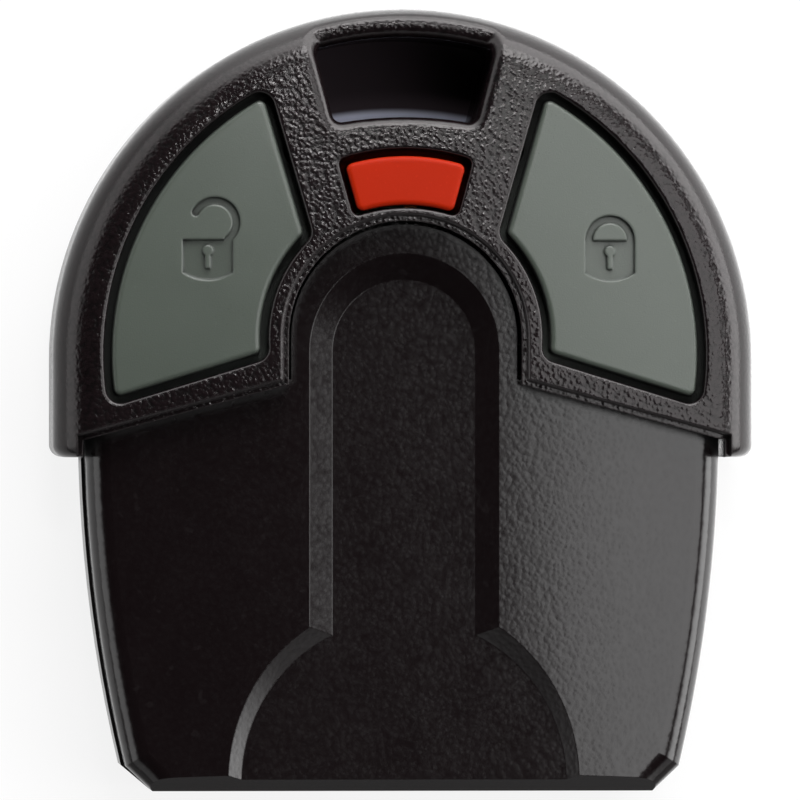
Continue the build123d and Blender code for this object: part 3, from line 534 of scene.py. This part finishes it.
def floor_shade(finish, settings):
    """Where the floor lies open, and its colour: under the head, a pale bluish colour that shows as a painted
    strip of light at the slot's foot, and a painted shadow past it.
    """
    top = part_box("front_shell")[1].y
    head_middle, head_reach = top - 15.2 * MILLIMETRE, 13.9 * MILLIMETRE
    pale_middle, pale_reach = top - 31 * MILLIMETRE, 24.4 * MILLIMETRE
    soft_edge = 0.5 * MILLIMETRE
    # Painted light and shadow under the head: the pale bluish strip seen at the keyring slot's foot, and the
    # near-black shadow past it.
    pale, dark = (0.58, 0.60, 0.74), (0.04, 0.03, 0.035)
    from_head = finish.distance((0.0, head_middle, 0.0))
    open_floor = finish.ramp(from_head, head_reach, head_reach + soft_edge)
    from_pale = finish.distance((0.0, pale_middle, 0.0))
    painted_shadow_mask = finish.ramp(from_pale, pale_reach, pale_reach + soft_edge)
    return open_floor, finish.mix(open_floor, finish.mix(painted_shadow_mask, pale, dark), settings.floor)


def floor_glow(finish, settings, camera):
    """The floor's light: plain white to the camera, and to the remote brightest past its right side."""
    bright, dim, dark = plain(1.0), plain(0.30), plain(0.03)
    across, along, _ = finish.axes(finish.place)
    lit = finish.ramp(across * 0.8 + along * 0.6, -20 * MILLIMETRE, 30 * MILLIMETRE)
    beside = finish.mix(lit, dim, bright)
    before_drawer = finish.ramp(along, -36 * MILLIMETRE, -28 * MILLIMETRE)
    mirrored = finish.mix(before_drawer, dark, beside)
    seen = finish.mix(camera, mirrored, plain(1.0 / settings.floor_gloss))
    return finish.node("ShaderNodeEmission", {}, {"Color": seen, "Strength": settings.floor_gloss})


def studio_floor(settings):
    """A wide floor whose pale colour is seen plain, with a little of the remote's shadow kept on it."""
    glow_share = 0.85
    half_width = 1.5
    finish = Finish("Studio floor", Roughness=0.9, Specular_IOR_Level=0.1)
    open_floor, shade = floor_shade(finish, settings)
    # The floor's colour holds the painted shadow and the painted strip of light under the head.
    finish.show(Base_Color=shade)
    rays = finish.node("ShaderNodeLightPath")
    camera = Level(finish, rays.outputs["Is Camera Ray"])
    glossy = Level(finish, rays.outputs["Is Glossy Ray"])
    glow = floor_glow(finish, settings, camera)
    factor = (camera + glossy) * open_floor * glow_share
    sockets = {0: factor, 1: finish.shader.outputs[0], 2: glow.outputs[0]}
    mixed = finish.node("ShaderNodeMixShader", {}, sockets)
    finish.fill(finish.tree.nodes["Material Output"], {"Surface": mixed.outputs[0]})
    mesh = bpy.data.meshes.new("Studio_floor")
    corners = [(x * half_width, y * half_width, 0.0) for x, y in ((-1, -1), (1, -1), (1, 1), (-1, 1))]
    mesh.from_pydata(corners, [], [(0, 1, 2, 3)])
    mesh.materials.append(finish.material)
    floor = bpy.data.objects.new("Studio_floor", mesh)
    bpy.context.scene.collection.objects.link(floor)


def surroundings(settings):
    """A world that is pale at the horizon, brightest behind the right of the remote, and dark overhead."""
    back_right = (0.7, 0.7, 0.0)
    front_share = 0.35
    world = bpy.data.worlds.new("Studio")
    world.use_nodes = True
    sky = Nodes(world.node_tree)
    direction = sky.node("ShaderNodeTexCoord").outputs["Generated"]
    _, along, rise = sky.axes(direction)
    sockets = {0: direction, 1: back_right}
    facing = sky.level("ShaderNodeVectorMath", {"operation": "DOT_PRODUCT"}, sockets, output="Value")
    low_down = 1 - sky.ramp(rise, 0.38, 0.60)
    ahead = sky.ramp(along, -0.65, -0.10) * (1 - front_share) + front_share
    all_round = ahead * settings.horizon
    bright_side = sky.ramp(facing, 0.0, 0.8) * settings.bright_side
    glow = low_down * (all_round + bright_side) + settings.zenith
    sky.fill(sky.tree.nodes["Background"], {"Color": plain(1.0), "Strength": glow})
    bpy.context.scene.world = world


def place_camera(settings, middle):
    """The camera, straight above the remote but for a small lean to the left."""
    camera = bpy.data.objects.new("Camera", bpy.data.cameras.new("Camera"))
    bpy.context.scene.collection.objects.link(camera)
    away, lean = settings.camera_distance, settings.camera_lean
    camera.data.lens = camera.data.sensor_width * away / settings.frame_width
    camera.data.clip_start = 10 * MILLIMETRE
    camera.location = middle + Vector((-away * math.sin(lean), 0.0, away * math.cos(lean)))
    camera.rotation_euler = (0.0, -lean, 0.0)
    bpy.context.scene.camera = camera


class REMOTE_OT_stage(bpy.types.Operator):
    """Builds the floor, the surroundings, the lamps and the camera"""

    bl_idname = "remote.stage"
    bl_label = "Stage"

    def execute(self, context):
        stage = context.scene.remote_stage
        low, high = (Vector(corner) for corner in cad_box)
        middle = (low + high) / 2
        studio_floor(stage)
        surroundings(stage)
        area_lamp("Key lamp", middle, stage.key_power, place=(0.177, 0.047, 0.356), width=0.30, height=0.27)
        area_lamp("Top lamp", middle, stage.top_power, place=(0.0, 0.15, 0.40), width=0.035, height=0.035)
        area_lamp("Back lamp", middle, stage.back_power, place=(0.04, 0.32, 0.26), width=0.26, height=0.16)
        place_camera(stage, middle)
        context.scene.view_settings.view_transform = "Standard"
        return {"FINISHED"}


class REMOTE_PT_panel(bpy.types.Panel):
    """Lists the remote's finishes and the steps that apply them"""

    bl_idname = "REMOTE_PT_panel"
    bl_label = "Car alarm remote"
    bl_space_type = "VIEW_3D"
    bl_region_type = "UI"
    bl_category = "Remote"

    def draw(self, context):
        for setting, group in GROUPS.items():
            section = self.layout.box()
            section.label(text=group.__doc__)
            for name in group.__annotations__:
                section.prop(getattr(context.scene, setting), name)
        for operator in OPERATORS:
            self.layout.operator(operator.bl_idname)


GROUPS = {
    "remote_head": HeadFinish,
    "remote_caps": CapFinish,
    "remote_drawer": DrawerFinish,
    "remote_inside": InsideFinish,
    "remote_stage": StageSettings,
}
OPERATORS = (
    REMOTE_OT_head,
    REMOTE_OT_caps,
    REMOTE_OT_drawer,
    REMOTE_OT_screws,
    REMOTE_OT_battery,
    REMOTE_OT_board,
    REMOTE_OT_switches,
    REMOTE_OT_stage,
)


def register():
    """Adds the settings, the steps and the panel."""
    for setting, group in GROUPS.items():
        bpy.utils.register_class(group)
        setattr(bpy.types.Scene, setting, PointerProperty(type=group))
    for operator in OPERATORS:
        bpy.utils.register_class(operator)
    bpy.utils.register_class(REMOTE_PT_panel)


def unregister():
    """Takes the panel, the steps and the settings away again."""
    bpy.utils.unregister_class(REMOTE_PT_panel)
    for operator in reversed(OPERATORS):
        bpy.utils.unregister_class(operator)
    for setting, group in reversed(GROUPS.items()):
        delattr(bpy.types.Scene, setting)
        bpy.utils.unregister_class(group)


def main():
    """Runs every step in order."""
    register()
    for operator in OPERATORS:
        area, name = operator.bl_idname.split(".")
        getattr(getattr(bpy.ops, area), name)()


if __name__ == "__main__":
    main()
